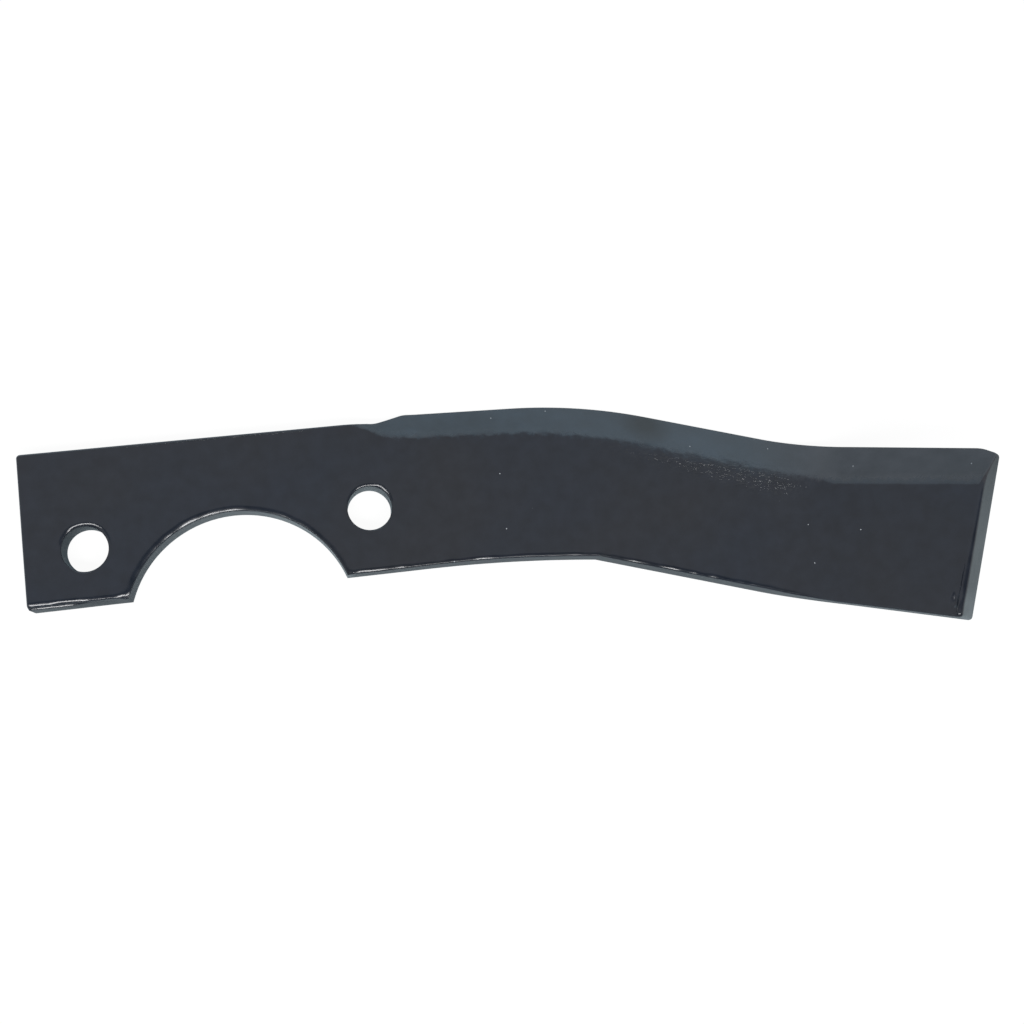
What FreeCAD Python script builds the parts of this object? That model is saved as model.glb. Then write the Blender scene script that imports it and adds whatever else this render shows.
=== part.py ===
import FreeCAD, Part

import math
import os

# Rotary tiller blade, forged in one piece from a flat spring-steel bar.
# The bar is drawn in its own frame: x along the straight back edge from the square end,
# y across the bar towards the cutting edge, z up from the seat face. Angles are in degrees.

# Flat bar
bar_width = 40.0
bar_thickness = 8.0
bar_corner_radius = 1.0
upper_rim_radius = 1.2
seat_rim_radius = 0.6

# Bolted end: two bolt holes, and a round notch between them that clears the rotor's hub
bolt_hole_diameter = 11.5
bolt_spacing = 72.3
bolt_end_margin = 15.0
bolt_back_margin = 14.2
bolt_line_angle = 2.25
hub_notch_radius = 29.0
hub_notch_drop = 24.8

# Back edge: straight, then a slow droop, then swept back from a sharp corner
back_straight_length = 101.0
back_droop_length = 46.0
back_droop_angle = 6.5
back_sweep_length = 47.5
back_sweep_angle = 17.4

# Front edge: straight to the heel, where forging spreads it past the bar, then swept back
front_straight_length = 91.6
heel_rise_length = 7.0
heel_spread_width = 2.5
heel_radius = 8.0
cutting_taper_angle = 1.7
cutting_taper_length = 49.4
cutting_sweep_angle = 16.35
cutting_sweep_radius = 150.0

# Bevel, ground on the upper face down to a thin land at the cutting edge
edge_land_height = 1.0
bevel_run_out_length = 15.0
bevel_width_heel = 8.2
bevel_width_sweep = 9.7
bevel_width_bend = 11.2
bevel_width_tip = 10.4

# Bent tip: the line of the bend and the cut end both slant back from square across the bar,
# and the cutting edge falls away over its last few millimetres
bend_slant_angle = 10.15
bend_angle = 47.8
bend_inner_radius = 21.7
tip_length = 33.4
end_slant_angle = 20.2
tip_fall_length = 4.6
tip_fall_angle = 19.0
tip_fall_radius = 9.0
tip_corner_radius = 1.2

# Construction allowances
trim_margin = 2.0
bend_stations = 9
same_point_gap = 1e-6
seat_rim_share = 0.8

# Values that follow from the dimensions above
bevel_depth = bar_thickness - edge_land_height
bend_mean_radius = bend_inner_radius + bar_thickness / 2
bend_length = bend_mean_radius * math.radians(bend_angle)


def point(x, y, z=0.0):
    return FreeCAD.Vector(x, y, z)


def heading(angle):
    """Unit vector in the bar's plane, at this angle from the x axis."""
    return point(math.cos(math.radians(angle)), math.sin(math.radians(angle)))


def crossing(start, direction, other_start, other_direction):
    """Where two lines in the bar's plane meet."""
    gap = other_start - start
    turn = direction.x * other_direction.y - direction.y * other_direction.x
    along = (gap.x * other_direction.y - gap.y * other_direction.x) / turn
    return start + direction * along


def outline(corners, height):
    """Closed wire at one height through (point, radius) corners, each rounded by its own tangent arc."""
    marks = []
    for i, (corner, radius) in enumerate(corners):
        back = (corners[i - 1][0] - corner).normalize()
        ahead = (corners[(i + 1) % len(corners)][0] - corner).normalize()
        if radius == 0:
            marks.append([corner])
            continue
        half_angle = back.getAngle(ahead) / 2
        reach = radius / math.tan(half_angle)
        bulge = radius / math.sin(half_angle) - radius
        middle = corner + (back + ahead).normalize() * bulge
        marks.append([corner + back * reach, middle, corner + ahead * reach])
    lift = point(0, 0, height)
    edges = []
    for i, mark in enumerate(marks):
        if len(mark) == 3:
            edges.append(Part.Arc(*[p + lift for p in mark]).toShape())
        following = marks[(i + 1) % len(marks)]
        if mark[-1].distanceToPoint(following[0]) > same_point_gap:
            edges.append(Part.makeLine(mark[-1] + lift, following[0] + lift))
    return Part.Wire(edges)


def plate(corners):
    """Piece of bar of this outline, with upright walls all round."""
    return Part.Face(outline(corners, 0)).extrude(point(0, 0, bar_thickness))


def grind(edge_corners, knee_corners):
    """What the bevel takes off, above a slanted wall from the land up to the upper face."""
    clear = bend_line * bar_width
    ends = [(edge_corners[0][0] + clear, 0), (edge_corners[-1][0] + clear, 0)]
    foot = outline(edge_corners + ends[::-1], edge_land_height)
    crown = outline(knee_corners + ends[::-1], bar_thickness)
    return Part.makeLoft([foot, crown], True, True)


# Back edge of the flat pattern
back_droop_radius = back_droop_length / math.sin(math.radians(back_droop_angle))
droop_reach = back_droop_radius * math.tan(math.radians(back_droop_angle) / 2)
droop_turn = point(back_straight_length + droop_reach, 0)
sweep_corner = droop_turn + heading(-back_droop_angle) * droop_reach
back_heading = heading(-back_sweep_angle)
bend_foot = sweep_corner + back_heading * back_sweep_length
back_end = bend_foot + back_heading * (bend_length + tip_length)

# Lines across the flat pattern where the bend starts and where the blade ends
bend_normal = heading(-bend_slant_angle)
bend_line = heading(90 - bend_slant_angle)
bend_centre = bend_foot + point(0, 0, bar_thickness + bend_inner_radius)
end_line = heading(90 - end_slant_angle)

# Front edge of the flat pattern
heel = point(front_straight_length, bar_width)
edge_start = heel + point(heel_rise_length, heel_spread_width)
edge_turn = edge_start + heading(-cutting_taper_angle) * cutting_taper_length
edge_heading = heading(-cutting_sweep_angle)
edge_end = crossing(edge_turn, edge_heading, back_end, end_line)
tip_fall = edge_end - edge_heading * tip_fall_length
tip_corner = crossing(tip_fall, heading(-cutting_sweep_angle - tip_fall_angle), back_end, end_line)


def back_at(distance):
    """Point of the swept back edge at this distance past the line where the bend starts."""
    return crossing(bend_foot, back_heading, bend_foot + bend_normal * distance, bend_line)


def edge_at(distance):
    """Point of the cutting edge at this distance past the line where the bend starts."""
    return crossing(edge_turn, edge_heading, bend_foot + bend_normal * distance, bend_line)


# Upper boundary of the bevel
mean_heading = heading(-(cutting_taper_angle + cutting_sweep_angle) / 2 - 90)
half_turn = math.radians((cutting_sweep_angle - cutting_taper_angle) / 2)
knee_start = heel + point(bevel_run_out_length, heel_spread_width - bevel_width_heel)
knee_turn = edge_turn + mean_heading * (bevel_width_sweep / math.cos(half_turn))
knee_bend = edge_at(0) - bend_line * bevel_width_bend
knee_end = edge_end - end_line * bevel_width_tip
knee_heading = (knee_end - knee_bend).normalize()


def knee_at(distance):
    """Point of the bevel's upper boundary at this distance past the line where the bend starts."""
    return crossing(knee_bend, knee_heading, bend_foot + bend_normal * distance, bend_line)


def make_stem():
    """Flat stretch of the bar, from the square end to the line where the bend starts."""
    back = [
        (point(0, 0), bar_corner_radius),
        (droop_turn, back_droop_radius),
        (sweep_corner, 0),
        (back_at(0), 0),
    ]
    edge = [(edge_at(0), 0), (edge_turn, cutting_sweep_radius), (edge_start, heel_radius), (heel, 0)]
    knee = [(knee_bend, 0), (knee_turn, cutting_sweep_radius), (knee_start, heel_radius), (heel, 0)]
    stem = plate(back + edge + [(point(0, bar_width), bar_corner_radius)])
    return stem.cut(grind(edge, knee))


def bend_placement(distance):
    """Carries what is drawn flat at this distance past the bend's start to its place round the bend."""
    angle = math.degrees(distance / bend_mean_radius)
    turn = FreeCAD.Rotation(bend_line * -1, angle)
    about = FreeCAD.Placement(point(0, 0), turn, bend_centre)
    return about.multiply(FreeCAD.Placement(bend_normal * -distance, FreeCAD.Rotation()))


def make_bend():
    """Curved stretch: a ring segment of the bar, trimmed by its own cross-sections carried round."""
    low = point(0, 0, -trim_margin)
    high = point(0, 0, bar_thickness + trim_margin)
    lean = (bevel_depth + trim_margin) / bevel_depth
    sections = []
    for i in range(bend_stations):
        distance = bend_length * i / (bend_stations - 1)
        edge = edge_at(distance)
        over = edge + (knee_at(distance) - edge) * lean
        back = back_at(distance)
        section = Part.makePolygon(
            [back + low, edge + low, edge + point(0, 0, edge_land_height), over + high, back + high, back + low]
        )
        section.Placement = bend_placement(distance)
        sections.append(section)
    trim = Part.makeLoft(sections, True, False)
    reach = bend_line * (2 * bar_width)
    left = bend_foot - reach
    right = bend_foot + reach
    rise = point(0, 0, bar_thickness)
    strip = Part.makePolygon([left, right, right + rise, left + rise, left])
    ring = Part.Face(strip).revolve(bend_centre, bend_line * -1, bend_angle)
    return ring.common(trim)


def make_tip():
    """Flat stretch beyond the bend, with its slanted end, lifted to its place."""
    start = edge_at(bend_length)
    back = [(back_at(bend_length), 0), (back_end, bar_corner_radius)]
    tip = plate(back + [(tip_corner, tip_corner_radius), (tip_fall, tip_fall_radius), (start, 0)])
    edge = [(edge_end + edge_heading * bar_thickness, 0), (start, 0)]
    knee = [(knee_end + knee_heading * bar_thickness, 0), (knee_at(bend_length), 0)]
    tip = tip.cut(grind(edge, knee))
    tip.Placement = bend_placement(bend_length)
    return tip


def level_faces(shape, height):
    """Faces of the stem, bend and tip that lie at this height in the flat bar."""
    faces = []
    for distance in (-bend_length / 2, bend_length / 2, bend_length * 3 / 2):
        middle = (back_at(distance) + knee_at(distance)) * 0.5 + point(0, 0, height)
        carried = bend_placement(min(max(distance, 0), bend_length))
        probe = Part.Vertex(carried.multVec(middle))
        faces.append(min(shape.Faces, key=lambda face: face.distToShape(probe)[0]))
    return faces


def shared_edges(face, others):
    """Edges that this face has in common with any of the others."""
    return [edge for edge in face.Edges if any(edge.isSame(e) for other in others for e in other.Edges)]


def round_rims(shape):
    """Rounds the rims of the upright walls, more on the upper face than on the seat side.

    Only a wall as high as the bar has an upper rim, so the bevel's upper boundary stays crisp.
    """
    seat_side = level_faces(shape, 0)
    upper_side = level_faces(shape, bar_thickness)
    rims = []
    for face in shape.Faces:
        if shared_edges(face, seat_side):
            rims += shared_edges(face, upper_side)
    shape = shape.makeFillet(upper_rim_radius, rims)
    seat_side = level_faces(shape, 0)
    rims = []
    for face in shape.Faces:
        if not any(face.isSame(level) for level in seat_side):
            rims += shared_edges(face, seat_side)
    return shape.makeFillet(min(seat_rim_radius, edge_land_height * seat_rim_share), rims)


def punch(centre, radius):
    """Round tool that passes right through the bar."""
    return Part.makeCylinder(radius, bar_thickness + 2 * trim_margin, centre - point(0, 0, trim_margin))


# Bolted end
first_bolt = point(bolt_end_margin, bolt_back_margin)
second_bolt = first_bolt + heading(bolt_line_angle) * bolt_spacing
bolt_middle = (first_bolt + second_bolt) * 0.5
notch_centre = bolt_middle - heading(90 + bolt_line_angle) * hub_notch_drop

# The blade: one bar, bent, notched, rounded at its rims, then drilled
blade = make_stem().fuse([make_bend(), make_tip()]).removeSplitter()
blade = blade.cut(punch(notch_centre, hub_notch_radius))
blade = round_rims(blade)
for bolt in (first_bolt, second_bolt):
    blade = blade.cut(punch(bolt, bolt_hole_diameter / 2))

# The finished part's origin is midway between the bolt holes on the seat face, with x along the bolt line
blade.translate(bolt_middle * -1)
blade.rotate(point(0, 0), point(0, 0, 1), -bolt_line_angle)

os.makedirs("parts", exist_ok=True)
blade.Solids[0].exportStep("parts/blade.step")
print("blade: solids %d, volume %.1f mm3, valid %s" % (len(blade.Solids), blade.Volume, blade.isValid()))
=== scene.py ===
import math

import bpy
import numpy as np
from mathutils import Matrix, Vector


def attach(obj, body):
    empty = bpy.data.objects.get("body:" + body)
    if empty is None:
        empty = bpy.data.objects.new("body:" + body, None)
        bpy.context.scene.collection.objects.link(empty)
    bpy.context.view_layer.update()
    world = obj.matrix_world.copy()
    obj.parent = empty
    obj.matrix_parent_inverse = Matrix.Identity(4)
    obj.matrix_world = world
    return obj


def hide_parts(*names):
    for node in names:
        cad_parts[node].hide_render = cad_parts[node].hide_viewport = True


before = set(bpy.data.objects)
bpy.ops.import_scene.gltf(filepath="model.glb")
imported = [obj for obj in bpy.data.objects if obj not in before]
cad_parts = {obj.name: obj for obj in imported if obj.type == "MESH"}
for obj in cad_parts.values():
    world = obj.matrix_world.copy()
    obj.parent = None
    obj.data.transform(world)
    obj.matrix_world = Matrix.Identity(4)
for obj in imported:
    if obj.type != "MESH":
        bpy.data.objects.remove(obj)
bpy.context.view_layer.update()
mm = 0.001


# The flat bar
# The blade starts as a flat of spring steel, sheared square at the bolted end, with a round mouth
# cut into its back edge to clear the rotor's hub. Its far part droops and sweeps back.
bar_width = 40 * mm
bar_thickness = 8 * mm
square_corner = 0.6 * mm
back_straight = 101.0 * mm
droop_length = 46.0 * mm
droop_angle = 6.5
sweep_length = 47.5 * mm
sweep_angle = 17.4
bolt_line_angle = 2.25
bolt_spacing = 72.3 * mm
first_bolt = np.array([15.0, 14.2]) * mm
mouth_radius = 29.0 * mm
mouth_drop = 24.8 * mm
mouth_points = 49
arc_steps = 16
least_reach = 0.06 * mm


def heading(degrees):
    """Unit vector at this angle from the bar's length, or one for each of several angles."""
    angle = np.radians(degrees)
    return np.stack([np.cos(angle), np.sin(angle)], -1)


def unit(vectors):
    """The same vectors with a length of one."""
    return vectors / np.linalg.norm(vectors, axis=-1, keepdims=True)


def crossing(start, along, other, other_along):
    """Where two lines meet.

    The start is moved along its heading until the gap left to the other line's point has no cross
    product with that line's heading.
    """
    gap = other - start
    turned = along[0] * other_along[1] - along[1] * other_along[0]
    return start + along * (gap[0] * other_along[1] - gap[1] * other_along[0]) / turned


def roll(before, corner, after, radius, steps):
    """Corners rounded over, for headings from each corner to its two sides.

    The tangent points lie radius / tan(half angle) from the corner. Between them runs the rational
    quadratic curve with the corner as its middle control point and the sine of the half angle as
    that point's weight, which is a true arc.
    """
    cosine = (before * after).sum(-1, keepdims=True)
    half = np.arccos(np.clip(cosine, -1, 1)) / 2
    reach = np.maximum(radius / np.tan(half), least_reach)
    share = np.linspace(0, 1, steps + 1).reshape(-1, 1, 1)
    first = (1 - share) ** 2
    middle = 2 * np.sin(half) * share * (1 - share)
    last = share**2
    arc = first * (corner + before * reach) + middle * corner + last * (corner + after * reach)
    return arc / (first + middle + last)


droop_radius = droop_length / math.sin(math.radians(droop_angle))
droop_reach = droop_radius * math.tan(math.radians(droop_angle) / 2)
droop_turn = np.array([back_straight + droop_reach, 0])
sweep_corner = droop_turn + heading(-droop_angle) * droop_reach
back_heading = heading(-sweep_angle)
bolt_middle = first_bolt + heading(bolt_line_angle) * bolt_spacing / 2
mouth_centre = bolt_middle - heading(90 + bolt_line_angle) * mouth_drop
mouth_lip_angle = math.degrees(math.asin(-mouth_centre[1] / mouth_radius))
mouth_angles = np.linspace(180 - mouth_lip_angle, mouth_lip_angle, mouth_points)
mouth = mouth_centre + heading(mouth_angles) * mouth_radius


# Cutting edge and tip
# The front edge is forged out at the heel and ground to a bevel from there to the slanted end,
# where it keeps a narrow land. The tip is bent up across a slanted line, and its back edge lies a
# little further out from there on.
heel = np.array([90.9, 39.9]) * mm
edge_start = np.array([99.0, 42.49]) * mm
heel_radius = 8.0 * mm
taper_angle = 1.7
taper_length = 49.0 * mm
edge_sweep_angle = 16.35
edge_sweep_radius = 150.0 * mm
land_height = 1.0 * mm
bevel_begin = 78.0 * mm
bevel_full = 102.5 * mm
bevel_width_heel = 7.5 * mm
bevel_width_sweep = 9.4 * mm
bevel_width_bend = 10.9 * mm
bevel_width_tip = 8.9 * mm
heel_knee_softness = 2.3 * mm
knee_softness = 1.5 * mm
tip_knee_softness = 2.4 * mm
bend_slant = 10.15
bend_angle = 47.8
bend_inner_radius = 21.7 * mm
tip_length = 33.4 * mm
end_slant = 20.2
unbend_spread, end_spread = 0.25 * mm, 0.45 * mm
end_corner = 1.0 * mm
tip_fall_length = 4.6 * mm
tip_fall_angle = 19.0
tip_fall_radius = 9.0 * mm
tip_corner = 1.2 * mm

bend_length = math.radians(bend_angle) * (bend_inner_radius + bar_thickness / 2)
bend_normal = heading(-bend_slant)
bend_line = heading(90 - bend_slant)
end_line = heading(90 - end_slant)
bend_foot = sweep_corner + back_heading * sweep_length
back_end = bend_foot + back_heading * (bend_length + tip_length) - end_line * end_spread
edge_turn = edge_start + heading(-taper_angle) * taper_length
edge_heading = heading(-edge_sweep_angle)
edge_end = crossing(edge_turn, edge_heading, back_end, end_line)
tip_fall = edge_end - edge_heading * tip_fall_length
tip_end = crossing(tip_fall, heading(-edge_sweep_angle - tip_fall_angle), back_end, end_line)


def past_bend(start, along, distance):
    """Point of this line that lies this far past the line where the bend starts."""
    return crossing(start, along, bend_foot + bend_normal * distance, bend_line)


# Places on the straight parts of both edges where spans of columns begin
under_heel = 88 * mm
over_mouth_left, over_mouth_right = 21 * mm, 82 * mm

# Corners of the outline in order round the bar, each with its radius
corners = {
    "square_back": ((0, 0), square_corner),
    "mouth_left": (mouth[0], 0),
    **{"mouth_%d" % i: (place, 0) for i, place in enumerate(mouth[1:-1])},
    "mouth_right": (mouth[-1], 0),
    "under_heel": ((under_heel, 0), 0),
    "droop": (droop_turn, droop_radius),
    "sweep": (sweep_corner, 0),
    "bend_back": (bend_foot, 0),
    "unbend_back": (past_bend(bend_foot, back_heading, bend_length) - bend_line * unbend_spread, 0),
    "end_back": (back_end, end_corner),
    "end_front": (tip_end, tip_corner),
    "tip_fall": (tip_fall, tip_fall_radius),
    "unbend_front": (past_bend(edge_turn, edge_heading, bend_length), 0),
    "bend_front": (past_bend(edge_turn, edge_heading, 0), 0),
    "edge_turn": (edge_turn, edge_sweep_radius),
    "edge_start": (edge_start, heel_radius),
    "heel": (heel, heel_radius),
    "over_mouth_right": ((over_mouth_right, bar_width), 0),
    "over_mouth_left": ((over_mouth_left, bar_width), 0),
    "square_front": ((0, bar_width), end_corner),
}
corner_names = list(corners) + ["round"]
corner_places = np.array([place for place, radius in corners.values()], float)
corner_radii = np.array([[radius] for place, radius in corners.values()])
corner_arcs = roll(
    unit(np.roll(corner_places, 1, 0) - corner_places),
    corner_places,
    unit(np.roll(corner_places, -1, 0) - corner_places),
    corner_radii,
    arc_steps,
)
outline = corner_arcs.transpose(1, 0, 2).reshape(-1, 2)
outline = np.vstack([outline, outline[: arc_steps + 1]])


def stretch(start, stop, shares):
    """Points of the outline at these shares of its run between the middles of two corners' arcs."""
    first, last = [corner_names.index(name) * (arc_steps + 1) + arc_steps // 2 for name in (start, stop)]
    part = outline[first : last + 1]
    run = np.append(0, np.cumsum(np.linalg.norm(np.diff(part, axis=0), axis=1)))
    return np.stack([np.interp(shares * run[-1], run, part[:, axis]) for axis in (0, 1)], -1)


def spacing(count, start, stop):
    """Shares from 0 to 1 in this many steps, whose size runs evenly from start to stop."""
    steps = np.linspace(start, stop, count)
    return np.append(0, np.cumsum(steps)) / steps.sum()


# Columns run across the bar: each span of the back edge is matched with one of the front edge, and
# has a number of columns, with their relative widths at its start and end
spans = [
    ("square_back", "mouth_left", "over_mouth_left", "square_front", spacing(36, 0.4, 1.3)),
    ("mouth_left", "mouth_right", "over_mouth_right", "over_mouth_left", spacing(84, 1, 1)),
    ("mouth_right", "under_heel", "heel", "over_mouth_right", spacing(14, 1, 1)),
    ("under_heel", "sweep", "edge_turn", "heel", spacing(98, 0.8, 1.1)),
    ("sweep", "bend_back", "bend_front", "edge_turn", spacing(100, 1.1, 0.95)),
    ("bend_back", "unbend_back", "unbend_front", "bend_front", spacing(40, 1, 1)),
    ("unbend_back", "end_back", "end_front", "unbend_front", spacing(60, 1.2, 0.5)),
]
# Rows run along the bar, closer at its edges and on the bevel: where some of them lie across it, in
# millimetres, and their numbers
row_places = np.array([0, 2, 27, 39.2, 40])
row_numbers = [0, 6, 38, 72, 76]
rows = np.interp(np.arange(row_numbers[-1] + 1), row_numbers, row_places / row_places[-1])


def joined(parts):
    """Runs of points joined end to end."""
    return np.vstack([part[:-1] for part in parts[:-1]] + [parts[-1]])


back_side = joined([stretch(start, stop, shares) for start, stop, _, _, shares in spans])
front_side = joined([stretch(start, stop, 1 - shares) for _, _, start, stop, shares in spans])
end_side = stretch("end_back", "end_front", rows)
square_side = stretch("square_front", "round", 1 - rows)
rim_line = np.concatenate([back_side[:-1], end_side[:-1], front_side[:0:-1], square_side[:0:-1]])


def sheet(loop):
    """Face inside a loop, ruled from its back side to its front side.

    What the end and the square side depart from their own ruling is shared out along the bar.
    """
    up, across = len(back_side) - 1, len(rows) - 1
    loop = np.concatenate([loop, loop[:1]])
    back, end = loop[: up + 1], loop[up : up + across + 1]
    front, square = loop[up + across : 2 * up + across + 1][::-1], loop[2 * up + across :][::-1]
    v = rows[:, None, None]
    u = np.linspace(0, 1, len(back))[None, :, None]
    face = (1 - v) * back[None] + v * front[None]
    return face + (1 - u) * (square[:, None] - face[:, :1]) + u * (end[:, None] - face[:, -1:])


# Upper face, with the bevel and the dished rims of what was punched
# The grinding wheel left the bevel's upper boundary soft and a little ragged, and forging wrinkled
# the face beside it towards the bend. The punches pulled the face down round the hub mouth and
# round both holes. Enamel ran together into a bead at the tip's back corner.
knee_raggedness, tip_knee_raggedness = 0.42 * mm, 0.12 * mm
knee_ragged_reach = 1.7 * mm
broad_share, broad_cell = 0.6, (2.6 * mm, 4 * mm, 1)
fine_share, fine_cell = 0.7, (0.9 * mm, 2 * mm, 1)
wrinkle_depth = 0.13 * mm
wrinkle_stations = np.array([138, 172, 196, 214]) * mm
wrinkle_shares = [0, 0.6, 1, 0]
wrinkle_reach = 4.0 * mm
wrinkle_turn, wrinkle_cell = 15, (2.4 * mm, 0.95 * mm, 1)
uneven_share, uneven_cell = 0.55, (2.6 * mm, 2.6 * mm, 1)
mouth_dish_width = 2.0 * mm
mouth_dish_stations = np.array([26, 46, 56, 80]) * mm
mouth_dish_depths = np.array([0.45, 0.43, 0.29, 0.26]) * mm
mouth_even_share = 0.65
hole_dish_depth, hole_dish_width = 0.33 * mm, 1.3 * mm
wall_lean_stations = np.array([0, 28, 88, 120, 150, 250]) * mm
wall_leans = np.array([0.85, 0.75, 0.1, 0.3, 0.1, 0.1]) * mm
rollover_width = 1.4 * mm
rollover_stations = np.array([0, 28, 88, 150, 182, 200, 250]) * mm
rollover_depths = np.array([0.25, 0.25, 0.21, 0.21, 0.21, 0.12, 0.10]) * mm
hole_radius = 5.75 * mm
holes = [first_bolt, first_bolt + heading(bolt_line_angle) * bolt_spacing]
bead_height, bead_offset, bead_width, bead_length = 0.1 * mm, 0.3 * mm, 0.6 * mm, 2.2 * mm
bead_start = 3.6 * mm
slot_depth, slot_offset, slot_width = 0.55 * mm, 2.2 * mm, 0.75 * mm
drop_height, drop_offset, drop_start, drop_reach = 0.52 * mm, 2.3 * mm, 1.9 * mm, 0.55 * mm
past_tip, mouth_margin = 9 * mm, 1.001
lattice_size = 64


def smoothed(share):
    """Share from 0 to 1, eased at both ends: 3t^2 - 2t^3."""
    return share * share * (3 - 2 * share)


def unevenness(place, size, seed):
    """Smooth random relief from -1 to 1.

    Random values stand on a lattice with cells of this size and are blended between its points.
    """
    lattice = np.random.default_rng(seed).uniform(-1, 1, (lattice_size,) * 3)
    cell = place / np.asarray(size)
    base = np.floor(cell)
    fade = smoothed(cell - base)
    total = np.zeros(place.shape[:-1])
    for corner in np.ndindex(2, 2, 2):
        weight = np.prod(np.where(corner, fade, 1 - fade), axis=-1)
        index = (base.astype(int) + corner) % lattice_size
        total += weight * lattice[index[..., 0], index[..., 1], index[..., 2]]
    return total


def raised(places, height):
    """Plan points or headings given a third coordinate."""
    return np.concatenate([places, np.broadcast_to(height, places.shape[:-1] + (1,))], -1)


front_line = front_side[front_side[:, 0] < tip_fall[0] - tip_fall_length]
front_line = np.vstack([front_line, edge_end + edge_heading * past_tip])
back_line = back_side[np.linalg.norm(back_side - mouth_centre, axis=-1) > mouth_radius * mouth_margin]
back_line = np.vstack([back_line[back_line[:, 0] > square_corner], back_end + back_heading * past_tip])


def inside_line(plan, line):
    """Distance across the bar from a line to a place: the step in y to it times the cosine of its heading."""
    step = plan[..., 1] - np.interp(plan[..., 0], line[:, 0], line[:, 1])
    slope = np.gradient(line[:, 1], line[:, 0])
    return step * np.cos(np.arctan(np.interp(plan[..., 0], line[:, 0], slope)))


def from_edge(plan):
    """Distance inward from the cutting edge, which runs on straight past the fall of the tip."""
    return -inside_line(plan, front_line)


def from_back(plan):
    """Distance inward from the back edge, as if the hub mouth weren't cut."""
    return inside_line(plan, back_line)


def bevel_width(plan):
    """Width of the full bevel at each place, between its widths at the heel, sweep, bend and tip."""
    stations = [bevel_full, edge_turn[0], corners["bend_front"][0][0], edge_end[0]]
    widths = [bevel_width_heel, bevel_width_sweep, bevel_width_bend, bevel_width_tip]
    return np.interp(plan[..., 0], stations, widths)


def softness(plan):
    """Half the width of the knee's rounding, which is wider at the heel and on the tip than between them."""
    stations = [bevel_full, edge_turn[0], corners["bend_front"][0][0], corners["unbend_front"][0][0]]
    widths = [heel_knee_softness, knee_softness, knee_softness, tip_knee_softness]
    return np.interp(plan[..., 0], stations, widths)


def into_bevel(plan):
    """How far a place lies past the knee, where the bevel begins: negative on the face."""
    fade = smoothed(np.clip((plan[..., 0] - bevel_begin) / (bevel_full - bevel_begin), 0, 1))
    return (bevel_width(plan) + softness(plan)) * fade - softness(plan) - from_edge(plan)


def hump(distance, reach):
    """Bell curve, e to the minus square of the distance over the reach."""
    return np.exp(-((distance / reach) ** 2))


def dished(distance, depth, width):
    """Drop beside a punched rim: the depth at the rim times the square of the share of the width left."""
    return depth * np.clip(1 - distance / width, 0, 1) ** 2


def wrinkled(plan, past):
    """How far forging wrinkled the face: a share along the bar times a bell curve beside the knee."""
    share = np.interp(plan[..., 0], wrinkle_stations, wrinkle_shares)
    return share * hump(past + wrinkle_reach / 2, wrinkle_reach)


def upper_height(plan):
    """Height of the upper face.

    The bevel falls evenly to the land, and a parabola joins it to the flat. The wrinkles, the dished
    rims and the slot in the enamel lower that, and the enamel's bead and drop raise it.
    """
    place = raised(plan, 0)
    past = into_bevel(plan)
    ragged = broad_share * unevenness(place, broad_cell, seed=11)
    ragged = ragged + fine_share * unevenness(place, fine_cell, seed=12)
    bend_run = [bend_foot[0], bend_foot[0] + bend_length]
    raggedness = np.interp(plan[..., 0], bend_run, [knee_raggedness, tip_knee_raggedness])
    past = past + raggedness * ragged * hump(past, knee_ragged_reach)
    half = softness(plan)
    fall = np.where(past > half, past, np.clip(past + half, 0, 2 * half) ** 2 / (4 * half))
    height = bar_thickness - (bar_thickness - land_height) * fall / bevel_width(plan)
    wrinkle_axes = np.array([heading(-bend_slant - wrinkle_turn), heading(90 - wrinkle_turn - bend_slant)])
    slanted = raised(plan @ wrinkle_axes.T, 0)
    height += wrinkle_depth * wrinkled(plan, past) * (unevenness(slanted, wrinkle_cell, seed=13) - 1)
    uneven = 1 + uneven_share * unevenness(place, uneven_cell, seed=14)
    mouth_distance = np.linalg.norm(plan - mouth_centre, axis=-1) - mouth_radius
    mouth_depth = np.interp(plan[..., 0], mouth_dish_stations, mouth_dish_depths)
    mouth_depth = mouth_depth * (mouth_even_share + (1 - mouth_even_share) * uneven)
    height -= dished(mouth_distance, mouth_depth, mouth_dish_width)
    for centre in holes:
        rim_distance = np.linalg.norm(plan - centre, axis=-1) - hole_radius
        height -= dished(rim_distance, hole_dish_depth * uneven, hole_dish_width)
    inside_end = (back_end - plan) @ heading(-end_slant)
    up_end = (plan - back_end) @ end_line
    beside_corner = hump(up_end - bead_start, bead_length)
    bead = bead_height * hump(inside_end - bead_offset, bead_width)
    slot = slot_depth * hump(inside_end - slot_offset, slot_width)
    drop = drop_height * hump(inside_end - drop_offset, drop_reach) * hump(up_end - drop_start, drop_reach)
    rollover = np.interp(plan[..., 0], rollover_stations, rollover_depths) * uneven
    inside_rim = from_back(plan) - np.interp(plan[..., 0], wall_lean_stations, wall_leans)
    height -= dished(np.maximum(inside_rim, 0), rollover, rollover_width)
    return height + beside_corner * (bead - slot) + drop


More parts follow.
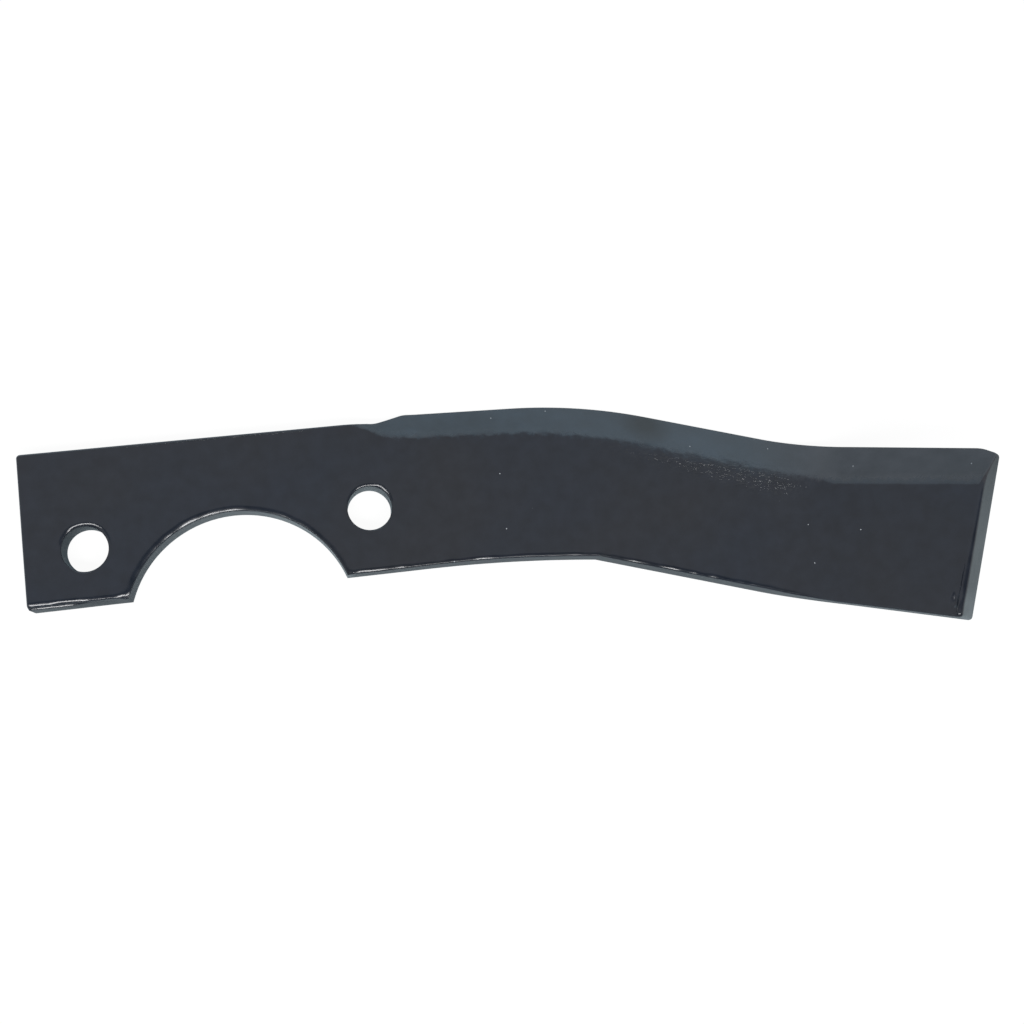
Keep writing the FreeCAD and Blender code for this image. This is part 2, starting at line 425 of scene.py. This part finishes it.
# Skin of the blade
# Shears rolled the rims over, left a narrow shelf under the rim near the square end, and the enamel
# softens it all. One closed skin covers the blade: an upper and a lower sheet, a band round the
# outline and a band through each bolt hole.
crown_radius = 0.5 * mm
mouth_crown_radius = 0.45 * mm
front_crown_radius = 0.8 * mm
end_crown_radius, end_back_crown_radius = 1.1 * mm, 1.6 * mm
end_roll_fade = np.array([-2, -0.5]) * mm
end_roll_share = 0.8
brink_radius, brink_fade = 0.35 * mm, 3 * mm
mouth_match = 0.1 * mm
foot_radius = 0.4 * mm
hole_crown_radius = 0.4 * mm
hole_block = 8.6 * mm
shelf_width, shelf_drop, shelf_radius = 0.5 * mm, 1.1 * mm, 0.08 * mm
shelf_stations = np.array([0, 10, 17]) * mm
shelf_drop_share, crown_drop_share, shelf_rise = 0.3, 1.3, 0.16 * mm
shelf_tilt, shelf_tilt_spread, shelf_cell = 0.265, 0.08, 2.2 * mm
crown_steps, shelf_steps, shelf_flat_steps, wall_steps, foot_steps = 8, 2, 3, 4, 4
hole_ring_steps = 9
normal_blend = (1, 2, 3, 2, 1)
slope_probe = 0.3 * mm


def eased(values):
    """Weighted mean of each value of a loop and a few of its neighbours."""
    half = len(normal_blend) // 2
    total = sum(weight * np.roll(values, k - half, 0) for k, weight in enumerate(normal_blend))
    return total / sum(normal_blend)


def outward(loop):
    """Unit normals of a loop, pointing out, eased to keep insets from crossing at its corners."""
    run = unit(np.roll(loop, -1, 0) - np.roll(loop, 1, 0))
    return unit(eased(np.stack([run[:, 1], -run[:, 0]], -1)))


def ruled(start, stop, steps):
    """Rows between two rows, without these two, at equal shares."""
    share = np.linspace(0, 1, steps + 1)[1:-1].reshape(-1, 1, 1)
    return start * (1 - share) + stop * share


rim_out = outward(rim_line)
rim_height = upper_height(rim_line)[:, None]
past_end = ((rim_line - back_end) * heading(-end_slant)).sum(-1, keepdims=True)
from_mouth = np.linalg.norm(rim_line - mouth_centre, axis=-1) - mouth_radius
in_mouth = (np.abs(from_mouth) < mouth_match)[:, None]
at_front = np.arange(len(rim_line)) > len(back_side) + len(end_side) - 2
crown_roll = np.where(in_mouth, mouth_crown_radius, crown_radius)
crown_roll = np.where(at_front[:, None], front_crown_radius, crown_roll)
up_rim = (rim_line - back_end) @ end_line
end_rolls = [end_back_crown_radius, end_crown_radius]
end_roll = np.interp(up_rim, [0, end_roll_share * bar_width], end_rolls)[:, None]
crown_roll = np.interp(past_end, end_roll_fade, [0, 1]) * (end_roll - crown_roll) + crown_roll
brink_share = np.clip((bar_thickness - rim_height) / brink_fade, 0, 1)
crown_roll = crown_roll + (brink_radius - crown_roll) * brink_share

down = np.array([0.0, 0.0, -1.0])
at_back = np.arange(len(rim_line)) < len(back_side)
lean = np.interp(rim_line[:, 0], wall_lean_stations, wall_leans) * at_back * ~in_mouth[:, 0]
lean = eased(eased(lean))[:, None]
crown_line = raised(rim_line - rim_out * lean, rim_height)
inner_height = upper_height(rim_line - rim_out * (lean + slope_probe))[:, None]
inward = unit(raised(-rim_out, (inner_height - rim_height) / slope_probe))
crown = roll(inward, crown_line, down, crown_roll, crown_steps)
shelf_share = eased(np.interp(rim_line[:, 0], shelf_stations, [1, 1, 0]) * at_back * ~in_mouth[:, 0])[:, None]
shelf_slope = shelf_tilt + shelf_tilt_spread * unevenness(raised(rim_line, 0), shelf_cell, seed=6)[:, None]
shelf_fall = shelf_rise + (shelf_width * shelf_slope - shelf_rise) * shelf_share
shelf_depth = np.maximum(shelf_drop, crown_drop_share * crown_roll)
shelf_depth = np.minimum(shelf_depth, rim_height * shelf_drop_share)
shelf_inner = crown_line + down * shelf_depth
shelf_outer = shelf_inner + raised(rim_out, 0) * shelf_width * shelf_share + down * shelf_fall
lean_down = unit(raised(rim_line, 0) - shelf_outer)
shelf_back = roll(-down, shelf_inner, unit(shelf_outer - shelf_inner), least_reach, shelf_steps)
shelf_brow = roll(unit(shelf_inner - shelf_outer), shelf_outer, lean_down, shelf_radius, shelf_steps)
foot = roll(-lean_down, raised(rim_line, 0), raised(-rim_out, 0), foot_radius, foot_steps)
shelf_flat = ruled(shelf_back[-1], shelf_brow[0], shelf_flat_steps)
wall = ruled(shelf_brow[-1], foot[0], wall_steps)
rim = np.concatenate([crown, shelf_back, shelf_flat, shelf_brow, wall, foot])

upper = sheet(rim[0])
upper[..., 2] = upper_height(upper[..., :2])
lower = sheet(rim[-1])
points = [upper.reshape(-1, 3), lower.reshape(-1, 3), rim[1:-1].reshape(-1, 3)]
upper_ids = np.arange(upper[..., 0].size).reshape(upper.shape[:2])
lower_ids = upper_ids + upper_ids.size
rim_ids = 2 * upper_ids.size + np.arange(rim[1:-1, :, 0].size).reshape(len(rim) - 2, -1)


def id_loop(ids):
    """Border of a block of numbers, anticlockwise."""
    return np.concatenate([ids[0, :-1], ids[:-1, -1], ids[-1, :0:-1], ids[:0:-1, 0]])


def quads(ids, closed=False, turned=False):
    """Four-sided faces between neighbours in a block of numbers."""
    if closed:
        ids = np.hstack([ids, ids[:, :1]])
    faces = np.stack([ids[:-1, :-1], ids[:-1, 1:], ids[1:, 1:], ids[1:, :-1]], -1).reshape(-1, 4)
    return faces[:, ::-1] if turned else faces


def hole_band(centre, count):
    """Points and faces from a block of the upper sheet through a punched hole to the lower sheet.

    Each point of the block's border is joined to the circle along its own radius from the centre.
    """
    middle = np.linalg.norm(upper[..., :2] - centre, axis=-1)
    row, column = np.unravel_index(middle.argmin(), middle.shape)
    columns = np.flatnonzero(np.abs(upper[row, :, 0] - centre[0]) < hole_block)
    lines = np.flatnonzero(np.abs(upper[:, column, 1] - centre[1]) < hole_block)
    block = np.s_[lines[0] : lines[-1] + 1, columns[0] : columns[-1] + 1]
    inner = np.s_[lines[0] : lines[-1], columns[0] : columns[-1]]
    top = id_loop(upper_ids[block])
    bottom = id_loop(lower_ids[block])
    all_points = np.concatenate(points)
    spoke = unit(all_points[top][:, :2] - centre)
    edge = centre + spoke * hole_radius
    height = upper_height(edge)[:, None]
    outer_height = upper_height(edge + spoke * slope_probe)[:, None]
    outwards = unit(raised(spoke, (outer_height - height) / slope_probe))
    hole_crown = roll(outwards, raised(edge, height), down, hole_crown_radius, crown_steps)
    hole_foot = roll(-down, raised(edge, 0), raised(spoke, 0), foot_radius, foot_steps)
    upper_ring = ruled(all_points[top], hole_crown[0], hole_ring_steps)
    upper_ring[..., 2] = upper_height(upper_ring[..., :2])
    band = np.concatenate(
        [
            upper_ring,
            hole_crown,
            ruled(hole_crown[-1], hole_foot[0], wall_steps),
            hole_foot,
            ruled(hole_foot[-1], all_points[bottom], hole_ring_steps),
        ]
    )
    ids = count + np.arange(band[..., 0].size).reshape(band.shape[:2])
    return band.reshape(-1, 3), quads(np.vstack([top, ids, bottom]), closed=True), inner


faces = []
open_cells = np.ones((upper.shape[0] - 1, upper.shape[1] - 1), bool)
for centre in holes:
    band, band_faces, inner = hole_band(centre, sum(len(p) for p in points))
    points.append(band)
    faces.append(band_faces)
    open_cells[inner] = False
faces.append(quads(upper_ids)[open_cells.ravel()])
faces.append(quads(lower_ids, turned=True)[open_cells.ravel()])
rim_block = np.vstack([id_loop(upper_ids), rim_ids, id_loop(lower_ids)])
faces.append(quads(rim_block, closed=True, turned=True))
used, faces = np.unique(np.concatenate(faces), return_inverse=True)
flat = np.concatenate(points)[used]
faces = faces.reshape(-1, 4)


# Bend of the tip, and the part's own frame
# The tip was pressed up hot round a former. Each point of the flat bar keeps its distance from the
# middle of the thickness while it is carried round the bend and on along the tip. Rolling and
# forging left the upper face a little wavy; the seat side is flat.
wave_depth, wave_size = 0.03 * mm, 17 * mm
ripple_depth, ripple_size = 0.0015 * mm, 4 * mm


def carried(place):
    """Flat points taken round the bend and into the part's frame.

    Each is turned about the former's axis by its run past the bend's start over the mean radius, and
    goes on straight where its run is longer than the bend.
    """
    past = (place[:, :2] - bend_foot) @ bend_normal
    inside = np.clip(past, 0, bend_length)
    angle = inside / (bend_inner_radius + bar_thickness / 2)
    beyond = past - inside
    below = bar_thickness + bend_inner_radius - place[:, 2]
    moved = beyond * np.cos(angle) + below * np.sin(angle)
    height = bar_thickness + bend_inner_radius + beyond * np.sin(angle) - below * np.cos(angle)
    plan = place[:, :2] + bend_normal * (moved - past)[:, None]
    turn = np.array([heading(-bolt_line_angle), heading(90 - bolt_line_angle)])
    return np.column_stack([(plan - bolt_middle) @ turn, height])


def normals_of(places, quad_ids):
    """Point normals: cross products of each face's diagonals, added up at its corners."""
    a, b, c, d = (places[quad_ids[:, k]] for k in range(4))
    across = np.cross(c - a, d - b)
    total = [np.bincount(quad_ids.ravel(), np.repeat(across[:, axis], 4), len(places)) for axis in range(3)]
    return unit(np.stack(total, -1))


blade_places = carried(flat)
blade_normals = normals_of(blade_places, faces)
wave = wave_depth * (unevenness(flat, wave_size, seed=3) - 1)
wave = wave + ripple_depth * (unevenness(flat, ripple_size, seed=4) - 1)
blade_places = blade_places + blade_normals * (wave * flat[:, 2] / bar_thickness)[:, None]

blade_mesh = bpy.data.meshes.new("blade_skin")
blade_mesh.from_pydata(blade_places, [], faces)
blade_mesh.shade_smooth()

# What the finish needs to know of each point: how far the wall's cut surface shows there and how far its
# painted shade gives way to a painted reflection of the floor, how far the face is wrinkled, how far the
# point lies past the knee, and where it lay in the flat bar, as grinding and forging follow it
# Share of painted reflection of the floor on the cut walls, along the bar, in the second hole and up the
# tip's end; the rest of a wall is painted shade
floor_reflection_stations = np.array([0, 12, 18, 30, 58, 72, 79, 82, 205, 220]) * mm
floor_reflection_shares = [0.16, 0, 0, 0.2, 0.5, 1, 1, 0.08, 0.16, 0.25]
second_hole_reflection, end_reflection_shares = 0.8, [0.02, 0.25, 0.5, 0.45, 0.8]
end_steps = np.array([0, 7, 24, 36, 40]) * mm
end_reach = 1 * mm
wall_turn, wall_blend, seat_turn = 0.45, 0.3, -0.5
floor_reflection = np.interp(flat[:, 0], floor_reflection_stations, floor_reflection_shares)
in_second_hole = np.linalg.norm(flat[:, :2] - holes[1], axis=-1) < 2 * hole_radius
floor_reflection = np.where(in_second_hole, second_hole_reflection, floor_reflection)
at_end = (back_end - flat[:, :2]) @ heading(-end_slant) < end_reach
floor_reflection = np.where(at_end, np.interp(from_edge(flat[:, :2]), end_steps, end_reflection_shares), floor_reflection)
upward = normals_of(flat, faces)[:, 2]
cut_wall = np.clip((wall_turn - upward) / wall_blend, 0, 1) * np.clip((upward + 1) / wall_blend, 0, 1)
on_seat_side = upward < seat_turn
past_knee = into_bevel(flat[:, :2])
finish_values = {
    "cut_wall": cut_wall,
    "floor_reflection": floor_reflection,
    "rough_face": wrinkled(flat[:, :2], past_knee) * ~on_seat_side,
    "past_knee": np.where(on_seat_side, -bar_width, past_knee),
}
for name, values in finish_values.items():
    blade_mesh.attributes.new(name, "FLOAT", "POINT").data.foreach_set("value", values)
blade_mesh.attributes.new("flat_place", "FLOAT_VECTOR", "POINT").data.foreach_set("vector", flat.ravel())
blade_mesh.update()
blade_skin = bpy.data.objects.new("blade_skin", blade_mesh)
bpy.context.scene.collection.objects.link(blade_skin)
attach(blade_skin, "root")
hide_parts("blade")


# Black enamel
# The blade was dipped in a thin blue-black enamel. It is glossy on the faces and dull on the sheared and
# punched walls. The ground bevel is painted a shade lighter, a painted reflection of the bright backdrop;
# the walls carry painted shade and a painted reflection of the floor; the wrinkle ridges carry painted
# highlights, and the light-grey dust specks partly stand for painted glints.
enamel_dark = (0.0090, 0.0122, 0.0190, 1)
enamel_warm = (0.0105, 0.0124, 0.0170, 1)
# Painted reflection of the bright backdrop on the ground bevel, less blue on the bent tip
bevel_reflection = (0.0145, 0.0225, 0.0320, 1)
bevel_reflection_tip = (0.0215, 0.0225, 0.0275, 1)
# Cut walls: painted shade, and a painted reflection of the floor
wall_shade = (0.0050, 0.0062, 0.0080, 1)
wall_reflection = (0.0920, 0.1090, 0.1160, 1)
# Painted highlight for the wrinkle ridges
ridge_highlight = (0.0180, 0.0210, 0.0250, 1)
# Light-grey dust specks, also standing for painted glints
dust_and_glint = (0.30, 0.32, 0.34, 1)
enamel_specular = 0.3
face_roughness, ground_roughness, cut_roughness = 0.13, 0.29, 0.55
roughness_spread = 0.05
tint_scale, cloud_scale, mottle_scale, peel_scale, tear_scale = 28.0, 70.0, 260.0, 900.0, 1500.0
tint_range, cloud_range, mottle_range, noise_middle = (0.35, 0.7), (0.35, 0.6), (0.3, 0.7), 0.5
cloud_low, cloud_high = 0.80, 1.10
mottle_low, mottle_high = 0.86, 1.14
# Painted shade: a soft darker spot on the bevel, standing for a small facet that turns away from the light
facet_shade_centre, facet_shade_level = (166 * mm, 34 * mm, 4 * mm), 0.1
facet_shade_near, facet_shade_far = 2.5 * mm, 8.5 * mm
knee_scale, knee_scatter = 750.0, 4.5 * mm
knee_blend, wrinkled_knee_blend = 0.8 * mm, 1.6 * mm
grain_turn, grain_scale, grain_width = math.radians(20), (330.0, 900.0, 1.0), 0.05
grain_distortion, grain_begin, grain_full = 0.6, 0.1, 0.8
peel_relief, grain_relief, tear_relief = 0.004 * mm, 0.04 * mm, 0.05 * mm
speck_scale, speck_size, speck_share, speck_height = 130.0, 0.024, 0.08, 0.05 * mm
speck_begin, speck_fade = 95 * mm, 5 * mm
speck_step, speck_core, speck_wall_limit = 0.01, 0.6, 0.3

enamel = bpy.data.materials.new("black_enamel")
enamel.use_nodes = True
nodes, links = enamel.node_tree.nodes, enamel.node_tree.links
shader = nodes["Principled BSDF"]
shader.inputs["Specular IOR Level"].default_value = enamel_specular


def node(kind, settings=None, **wires):
    """New node of the current tree: settings are its own, wires are links or values for its inputs."""
    made = nodes.new("ShaderNode" + kind)
    for key, value in (settings or {}).items():
        setattr(made, key, value)
    for key, value in wires.items():
        socket = made.inputs[int(key[1:])] if key[1:].isdigit() else made.inputs[key.replace("_", " ")]
        if isinstance(value, bpy.types.NodeSocket):
            links.new(value, socket)
        else:
            socket.default_value = value
    return made


def attribute(name, output="Fac"):
    """Output of the mesh attribute of this name."""
    return node("Attribute", {"attribute_name": name}).outputs[output]


def noise(place, scale, detail=2.0):
    """Noise from 0 to 1 over these places, with this many cells a metre."""
    return node("TexNoise", Vector=place, Scale=scale, Detail=detail).outputs["Fac"]


def remapped(value, low, high, to_low=0.0, to_high=1.0):
    """Value taken from one range to another, held at its ends."""
    settings = {"clamp": True}
    wires = {"Value": value, "From_Min": low, "From_Max": high, "To_Min": to_low, "To_Max": to_high}
    return node("MapRange", settings, **wires).outputs[0]


def times(first, second):
    """Product of two values."""
    return node("Math", {"operation": "MULTIPLY"}, _0=first, _1=second).outputs[0]


def plus(first, second):
    """Sum of two values."""
    return node("Math", {"operation": "ADD"}, _0=first, _1=second).outputs[0]


def blended(share, first, second):
    """Colour between two colours at this share."""
    return node("Mix", {"data_type": "RGBA"}, _0=share, _6=first, _7=second).outputs[2]


def bumped(height, distance, normal=None):
    """Normal bent by a height from 0 to 1 over this distance, on top of another bump."""
    wires = {"Height": height, "Distance": distance}
    if normal is not None:
        wires["Normal"] = normal
    return node("Bump", **wires).outputs[0]


place = node("TexCoord").outputs["Object"]
flat_place = attribute("flat_place", "Vector")
wall_share, wrinkle_share, floor_reflection_share = attribute("cut_wall"), attribute("rough_face"), attribute("floor_reflection")

# The grinding wheel's edge of the bevel is ragged: noise shifts where its painted reflection begins
knee_noise = times(plus(noise(flat_place, knee_scale, 4.0), -noise_middle), knee_scatter)
knee_reach = plus(knee_blend, times(wrinkle_share, wrinkled_knee_blend))
ground_share = remapped(plus(attribute("past_knee"), knee_noise), times(knee_reach, -1.0), knee_reach)
ground_share = times(ground_share, remapped(wall_share, 0.0, 1.0, 1.0, 0.0))

# Forging wrinkles: a net of fine ridges, drawn where a stretched noise passes its middle value
grain_place = node("Mapping", Vector=flat_place, Rotation=(0, 0, grain_turn), Scale=grain_scale).outputs[0]
grain_wires = {"Vector": grain_place, "Scale": 1.0, "Detail": 2.0, "Distortion": grain_distortion}
grain_noise = node("TexNoise", **grain_wires).outputs["Fac"]
off_middle = node("Math", {"operation": "ABSOLUTE"}, _0=plus(grain_noise, -noise_middle)).outputs[0]
ridge = remapped(off_middle, 0.0, grain_width, 1.0, 0.0)
ridge = times(ridge, remapped(wrinkle_share, grain_begin, grain_full))

tint = remapped(noise(place, tint_scale), *tint_range)
cloud = remapped(noise(place, cloud_scale, 3.0), *cloud_range, cloud_low, cloud_high)
mottle = remapped(noise(place, mottle_scale, 4.0), *mottle_range, mottle_low, mottle_high)
# The cut walls' colour is painted shade, lightened to a painted reflection of the floor by its share
wall_shade_and_reflection = blended(floor_reflection_share, wall_shade, wall_reflection)
colour = blended(tint, enamel_dark, enamel_warm)
# Wrinkle ridges are painted lighter: a painted highlight where they would catch the light
colour = blended(ridge, colour, ridge_highlight)
along = node("SeparateXYZ", Vector=flat_place).outputs["X"]
past_bend_share = remapped(along, bend_foot[0], bend_foot[0] + bend_length)
# The bevel's colour is a painted reflection of the bright backdrop, lighter and bluer than the face, less
# blue on the bent tip
bevel_reflection_colour = blended(past_bend_share, bevel_reflection, bevel_reflection_tip)
# Painted shade of a small facet darkens the bevel's painted reflection round this spot
facet_shade_distance = node("VectorMath", {"operation": "DISTANCE"}, _0=flat_place, _1=facet_shade_centre).outputs["Value"]
cloud = times(cloud, remapped(facet_shade_distance, facet_shade_near, facet_shade_far, facet_shade_level, 1.0))
bevel_reflection_colour = node("VectorMath", {"operation": "SCALE"}, _0=bevel_reflection_colour, Scale=cloud).outputs[0]
colour = blended(ground_share, colour, bevel_reflection_colour)
colour = blended(wall_share, colour, wall_shade_and_reflection)
colour = node("Mix", {"data_type": "RGBA", "blend_type": "MULTIPLY"}, _0=1.0, _6=colour, _7=mottle).outputs[2]

# Sparse dust specks on the blade's far part, raised by a bump and painted light grey, partly as painted
# glints; none on the walls
cells = node("TexVoronoi", {"voronoi_dimensions": "2D"}, Vector=flat_place, Scale=speck_scale)
lot = node("SeparateColor", Color=cells.outputs["Color"]).outputs[0]
chosen = remapped(lot, 1 - speck_share, 1 - speck_share + speck_step)
chosen = times(chosen, remapped(along, speck_begin, speck_begin + speck_fade))
speck = times(chosen, remapped(cells.outputs["Distance"], speck_size, speck_size * speck_core))
colour = blended(times(speck, remapped(wall_share, 0.0, speck_wall_limit, 1.0, 0.0)), colour, dust_and_glint)
links.new(colour, shader.inputs["Base Color"])

roughest_face = face_roughness + roughness_spread
roughness = remapped(noise(place, mottle_scale, 3.0), *mottle_range, face_roughness, roughest_face)
roughness = plus(roughness, times(ground_share, ground_roughness - face_roughness))
roughness = plus(roughness, times(wall_share, cut_roughness - face_roughness))
links.new(roughness, shader.inputs["Roughness"])

normal = bumped(noise(place, peel_scale), peel_relief)
normal = bumped(ridge, grain_relief, normal)
normal = bumped(times(noise(place, tear_scale, 3.0), wall_share), tear_relief, normal)
normal = bumped(speck, speck_height, normal)
links.new(normal, shader.inputs["Normal"])
blade_mesh.materials.append(enamel)


# Stage
# The blade lies on a white table in a white studio. A small soft strip stands high over its back
# edge and a cool panel lights the bevel. Black cards, seen only in the gloss, draw its rims.
floor_size = 6.0
floor_drop = 0.05 * mm
floor_white, floor_glow, floor_mirrored_glow = 0.95, 0.95, 0.54
white, mirrored_tint = (1, 1, 1, 1), (0.50, 0.78, 0.97, 1)
ambient_level, backdrop_level = 0.35, 1.0
aim = np.array([0.07, -0.01, 0.01])
strip_place, strip_size, strip_radiance = (-0.05, -0.42, 0.92), (1.1, 0.12), 34
panel_place, panel_size, panel_radiance = (0.1, 1.2, 0.28), (2.6, 0.9), 1.0
panel_colour = (0.72, 1.0, 1.2)
behind_strip, behind_strip_size = (0.07, -0.91, 0.69), (2.4, 0.91)
over_camera, over_camera_size = (0.05, -0.12, 0.6), (1.3, 0.17)
flag_glow = 0.04


def card(name, places):
    """Flat four-cornered sheet that belongs to the stage."""
    mesh = bpy.data.meshes.new(name)
    mesh.from_pydata(places, [], [(0, 1, 2, 3)])
    sheet_object = bpy.data.objects.new(name, mesh)
    bpy.context.scene.collection.objects.link(sheet_object)
    return sheet_object


def square(width, depth):
    """Corners of a level rectangle round the origin."""
    return np.array([(-width, -depth, 0), (width, -depth, 0), (width, depth, 0), (-width, depth, 0)]) / 2


def larger(first, second):
    """Larger of two values."""
    return node("Math", {"operation": "MAXIMUM"}, _0=first, _1=second).outputs[0]


def seen_share(direct, mirrored):
    """Share for a ray from the camera or through glass, another for a mirrored one, none for the rest."""
    path = node("LightPath").outputs
    straight = larger(path["Is Camera Ray"], path["Is Transmission Ray"])
    mirror = times(path["Is Glossy Ray"], mirrored)
    return larger(times(straight, direct), mirror)


floor = card("floor", square(floor_size, floor_size) - [0, 0, floor_drop])
floor_paint = bpy.data.materials.new("pale_floor")
floor_paint.use_nodes = True
nodes, links = floor_paint.node_tree.nodes, floor_paint.node_tree.links
nodes.clear()
lit = node("BsdfDiffuse", Color=(floor_white, floor_white, floor_white, 1)).outputs[0]
glow_colour = blended(node("LightPath").outputs["Is Glossy Ray"], white, mirrored_tint)
glow = node("Emission", Color=glow_colour, Strength=1.0).outputs[0]
floor_look = node("MixShader", _0=seen_share(floor_glow, floor_mirrored_glow), _1=lit, _2=glow).outputs[0]
node("OutputMaterial", Surface=floor_look)
floor.data.materials.append(floor_paint)

world = bpy.data.worlds.new("studio")
bpy.context.scene.world = world
world.use_nodes = True
nodes, links = world.node_tree.nodes, world.node_tree.links
nodes.clear()
ambient = node("Background", Color=white, Strength=ambient_level).outputs[0]
backdrop = node("Background", Color=white, Strength=backdrop_level).outputs[0]
sky = node("MixShader", _0=seen_share(1.0, 1.0), _1=ambient, _2=backdrop).outputs[0]
node("OutputWorld", Surface=sky)


def facing(place):
    """Turn that makes an object at this place look at the blade, down its own -z, as a matrix."""
    direction = Vector(aim - np.array(place))
    return direction.to_track_quat("-Z", "Y").to_matrix()


def lamp(name, place, size, radiance, colour=white[:3]):
    """Rectangular area lamp that looks at the blade. Its power is radiance times pi times its area."""
    data = bpy.data.lights.new(name, "AREA")
    data.shape = "RECTANGLE"
    data.size, data.size_y = size
    data.energy = radiance * math.pi * size[0] * size[1]
    data.color = colour
    light = bpy.data.objects.new(name, data)
    light.location = place
    light.rotation_euler = facing(place).to_euler()
    bpy.context.scene.collection.objects.link(light)


lamp("high_strip", strip_place, strip_size, strip_radiance)
lamp("back_panel", panel_place, panel_size, panel_radiance, panel_colour)

flag_paint = bpy.data.materials.new("black_cloth")
flag_paint.use_nodes = True
nodes, links = flag_paint.node_tree.nodes, flag_paint.node_tree.links
nodes.clear()
node("OutputMaterial", Surface=node("Emission", Strength=flag_glow).outputs[0])


def flag(name, place, size):
    """Black card that looks at the blade and shows only in its gloss."""
    hung = card(name, square(*size) @ np.array(facing(place)).T + place)
    hung.visible_camera = hung.visible_diffuse = hung.visible_shadow = hung.visible_transmission = False
    hung.data.materials.append(flag_paint)


flag("flag_behind_strip", behind_strip, behind_strip_size)
flag("flag_over_camera", over_camera, over_camera_size)


# Camera
# It looks down on the blade from over its back edge, as the photograph does. Its place, turn and
# lens were found by fitting the blade's outline.
sensor_width, lens_length = 36, 41.343
camera_place = np.array([23.053, -45.475, 314.857]) * mm
camera_turn = (8.5703, -7.9783, -9.5439)

camera_data = bpy.data.cameras.new("camera")
camera_data.sensor_width = sensor_width
camera_data.lens = lens_length
camera = bpy.data.objects.new("camera", camera_data)
camera.location = camera_place
camera.rotation_euler = np.radians(camera_turn)
bpy.context.scene.collection.objects.link(camera)
bpy.context.scene.camera = camera
bpy.context.scene.view_settings.view_transform = "Standard"
